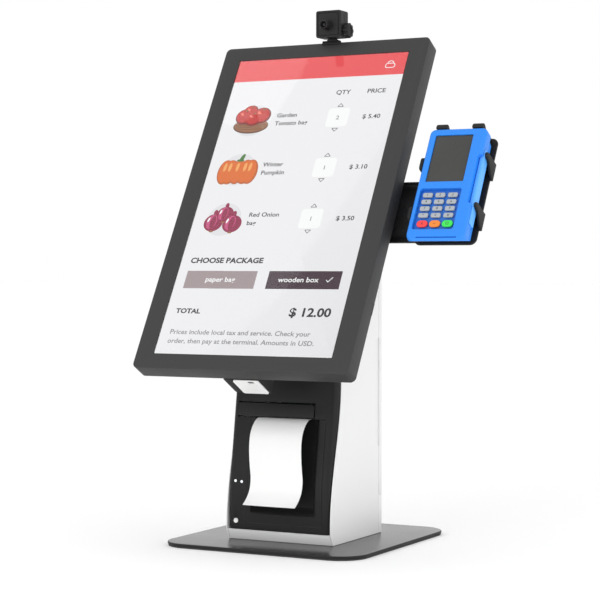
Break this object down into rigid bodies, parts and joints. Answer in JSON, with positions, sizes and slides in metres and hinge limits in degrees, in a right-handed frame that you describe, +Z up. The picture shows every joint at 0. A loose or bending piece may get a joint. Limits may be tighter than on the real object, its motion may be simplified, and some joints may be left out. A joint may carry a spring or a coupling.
{
  "type": "self checkout kiosk",
  "caption": "Countertop self checkout kiosk: tilting portrait touch display on a slim column, with receipt printer, barcode scanner, camera and payment terminal.",
  "frame": {"origin": "centre of the base's underside", "axes": "+Z up, -Y towards the customer, +X to the customer's right"},
  "size_m": [0.4445, 0.3528, 0.7413],
  "materials": {
    "painted_white": "satin powder coat",
    "white_plastic": "fine matt",
    "mirror_black": "dark mirror polish",
    "black_rubber": "matt",
    "black_plastic": "fine spark-eroded texture",
    "display_grey": "fine spark-eroded texture",
    "black_metal": "fine textured powder coat",
    "bright_steel": "brushed",
    "circuit_board": "solder mask",
    "thermal_paper": "smooth coated paper",
    "touch_glass": "clear, anti-glare",
    "dark_screen": "smooth",
    "terminal_blue": "satin",
    "key_grey": "soft-touch silicone",
    "key_red": "soft-touch silicone",
    "key_amber": "soft-touch silicone",
    "key_green": "soft-touch silicone"
  },
  "bodies": {
    "column": {"base_plate": "mirror_black", "base_pad": "black_rubber", "column_floor": "painted_white", "side_panel_left": "painted_white", "side_panel_right": "painted_white", "top_cover": "painted_white", "front_fascia": "black_plastic", "paper_exit_lip": "black_plastic", "tear_bar": "bright_steel", "print_head": "bright_steel", "roll_bucket": "black_plastic", "status_lights": "white_plastic", "rear_skirt": "painted_white", "power_inlet": "black_plastic", "power_supply": "bright_steel", "controller_board": "circuit_board", "neck_bracket": "black_metal", "tilt_axle": "bright_steel", "rear_hinge": "painted_white"},
    "display_head": {"display_bezel": "display_grey", "touch_glass": "touch_glass", "lcd_panel": "dark_screen", "rear_cover": "black_plastic", "tilt_plate": "black_metal", "scanner_housing": "black_plastic", "scanner_face": "white_plastic", "terminal_arm": "black_metal", "cradle_pin": "bright_steel", "camera_clip": "black_plastic"},
    "terminal": {"cradle_plate": "black_plastic", "terminal_front_shell": "terminal_blue", "terminal_back_shell": "terminal_blue", "terminal_screen": "dark_screen"},
    "camera_yoke": {"camera_yoke": "black_plastic"},
    "camera": {"camera_body": "black_plastic", "camera_lens": "black_plastic"},
    "camera_knob": {"camera_knob": "black_plastic"},
    "printer_door": {"printer_door": "black_plastic", "receipt_paper": "thermal_paper"},
    "platen_roller": {"platen_roller": "black_rubber"},
    "paper_roll": {"paper_roll": "thermal_paper"},
    "feed_button": {"feed_button": "white_plastic"},
    "rear_door": {"rear_door": "painted_white"},
    "rear_lock": {"rear_lock": "bright_steel"},
    "power_switch": {"power_switch": "black_plastic"},
    "key_11": {"key_11": "key_grey"},
    "key_12": {"key_12": "key_grey"},
    "key_13": {"key_13": "key_grey"},
    "key_21": {"key_21": "key_grey"},
    "key_22": {"key_22": "key_grey"},
    "key_23": {"key_23": "key_grey"},
    "key_31": {"key_31": "key_grey"},
    "key_32": {"key_32": "key_grey"},
    "key_33": {"key_33": "key_grey"},
    "key_41": {"key_41": "key_grey"},
    "key_42": {"key_42": "key_grey"},
    "key_43": {"key_43": "key_grey"},
    "key_cancel": {"key_cancel": "key_red"},
    "key_clear": {"key_clear": "key_amber"},
    "key_enter": {"key_enter": "key_green"}
  },
  "joints": [
    {"name": "display_tilt", "type": "hinge", "parent": "column", "child": "display_head", "pos_m": [0, -0.00428, 0.44629], "axis": [1, 0, 0], "range_deg": [-10, 5]},
    {"name": "cradle_swivel", "type": "hinge", "parent": "display_head", "child": "terminal", "pos_m": [0.234, -0.0256, 0.45837], "axis": [0, 0.493, 0.87], "range_deg": [-12, 12]},
    {"name": "camera_pan", "type": "hinge", "parent": "display_head", "child": "camera_yoke", "pos_m": [0.009, 0.061, 0.7], "axis": [0, 0, 1], "range_deg": [-45, 45]},
    {"name": "camera_tilt", "type": "hinge", "parent": "camera_yoke", "child": "camera", "pos_m": [0.009, 0.061, 0.713], "axis": [1, 0, 0], "range_deg": [-10, 10]},
    {"name": "camera_knob_turn", "type": "hinge", "parent": "camera", "child": "camera_knob", "pos_m": [0.009, 0.061, 0.713], "axis": [1, 0, 0], "range_deg": [0, 180]},
    {"name": "printer_door_hinge", "type": "hinge", "parent": "column", "child": "printer_door", "pos_m": [0, -0.0822, 0.0338], "axis": [1, 0, 0], "range_deg": [0, 80]},
    {"name": "paper_roll_spin", "type": "hinge", "parent": "column", "child": "paper_roll", "pos_m": [0.001, -0.024, 0.076], "axis": [1, 0, 0], "continuous": true},
    {"name": "platen_spin", "type": "hinge", "parent": "printer_door", "child": "platen_roller", "pos_m": [0.001, -0.0462, 0.164], "axis": [1, 0, 0], "continuous": true},
    {"name": "feed_button_press", "type": "slide", "parent": "column", "child": "feed_button", "axis": [0, 1, 0], "range_m": [0, 0.0015], "stiffness_N_per_m": 300},
    {"name": "rear_door_hinge", "type": "hinge", "parent": "column", "child": "rear_door", "pos_m": [0.0807, 0.0625, 0.06], "axis": [0, 0, -1], "range_deg": [0, 110]},
    {"name": "rear_lock_turn", "type": "hinge", "parent": "rear_door", "child": "rear_lock", "pos_m": [-0.064, 0.0733, 0.24], "axis": [0, -1, 0], "range_deg": [0, 90]},
    {"name": "power_switch_rock", "type": "hinge", "parent": "column", "child": "power_switch", "pos_m": [-0.0335, 0.0733, 0.031], "axis": [1, 0, 0], "range_deg": [-8, 8]},
    {"name": "key_11_press", "type": "slide", "parent": "terminal", "child": "key_11", "axis": [0, 0.87, -0.493], "range_m": [0, 0.001], "stiffness_N_per_m": 400},
    {"name": "key_12_press", "type": "slide", "parent": "terminal", "child": "key_12", "axis": [0, 0.87, -0.493], "range_m": [0, 0.001], "stiffness_N_per_m": 400},
    {"name": "key_13_press", "type": "slide", "parent": "terminal", "child": "key_13", "axis": [0, 0.87, -0.493], "range_m": [0, 0.001], "stiffness_N_per_m": 400},
    {"name": "key_21_press", "type": "slide", "parent": "terminal", "child": "key_21", "axis": [0, 0.87, -0.493], "range_m": [0, 0.001], "stiffness_N_per_m": 400},
    {"name": "key_22_press", "type": "slide", "parent": "terminal", "child": "key_22", "axis": [0, 0.87, -0.493], "range_m": [0, 0.001], "stiffness_N_per_m": 400},
    {"name": "key_23_press", "type": "slide", "parent": "terminal", "child": "key_23", "axis": [0, 0.87, -0.493], "range_m": [0, 0.001], "stiffness_N_per_m": 400},
    {"name": "key_31_press", "type": "slide", "parent": "terminal", "child": "key_31", "axis": [0, 0.87, -0.493], "range_m": [0, 0.001], "stiffness_N_per_m": 400},
    {"name": "key_32_press", "type": "slide", "parent": "terminal", "child": "key_32", "axis": [0, 0.87, -0.493], "range_m": [0, 0.001], "stiffness_N_per_m": 400},
    {"name": "key_33_press", "type": "slide", "parent": "terminal", "child": "key_33", "axis": [0, 0.87, -0.493], "range_m": [0, 0.001], "stiffness_N_per_m": 400},
    {"name": "key_41_press", "type": "slide", "parent": "terminal", "child": "key_41", "axis": [0, 0.87, -0.493], "range_m": [0, 0.001], "stiffness_N_per_m": 400},
    {"name": "key_42_press", "type": "slide", "parent": "terminal", "child": "key_42", "axis": [0, 0.87, -0.493], "range_m": [0, 0.001], "stiffness_N_per_m": 400},
    {"name": "key_43_press", "type": "slide", "parent": "terminal", "child": "key_43", "axis": [0, 0.87, -0.493], "range_m": [0, 0.001], "stiffness_N_per_m": 400},
    {"name": "key_cancel_press", "type": "slide", "parent": "terminal", "child": "key_cancel", "axis": [0, 0.87, -0.493], "range_m": [0, 0.001], "stiffness_N_per_m": 400},
    {"name": "key_clear_press", "type": "slide", "parent": "terminal", "child": "key_clear", "axis": [0, 0.87, -0.493], "range_m": [0, 0.001], "stiffness_N_per_m": 400},
    {"name": "key_enter_press", "type": "slide", "parent": "terminal", "child": "key_enter", "axis": [0, 0.87, -0.493], "range_m": [0, 0.001], "stiffness_N_per_m": 400}
  ],
  "couplings": [
    {"joint": "platen_spin", "follows": "paper_roll_spin", "ratio": -5}
  ]
}
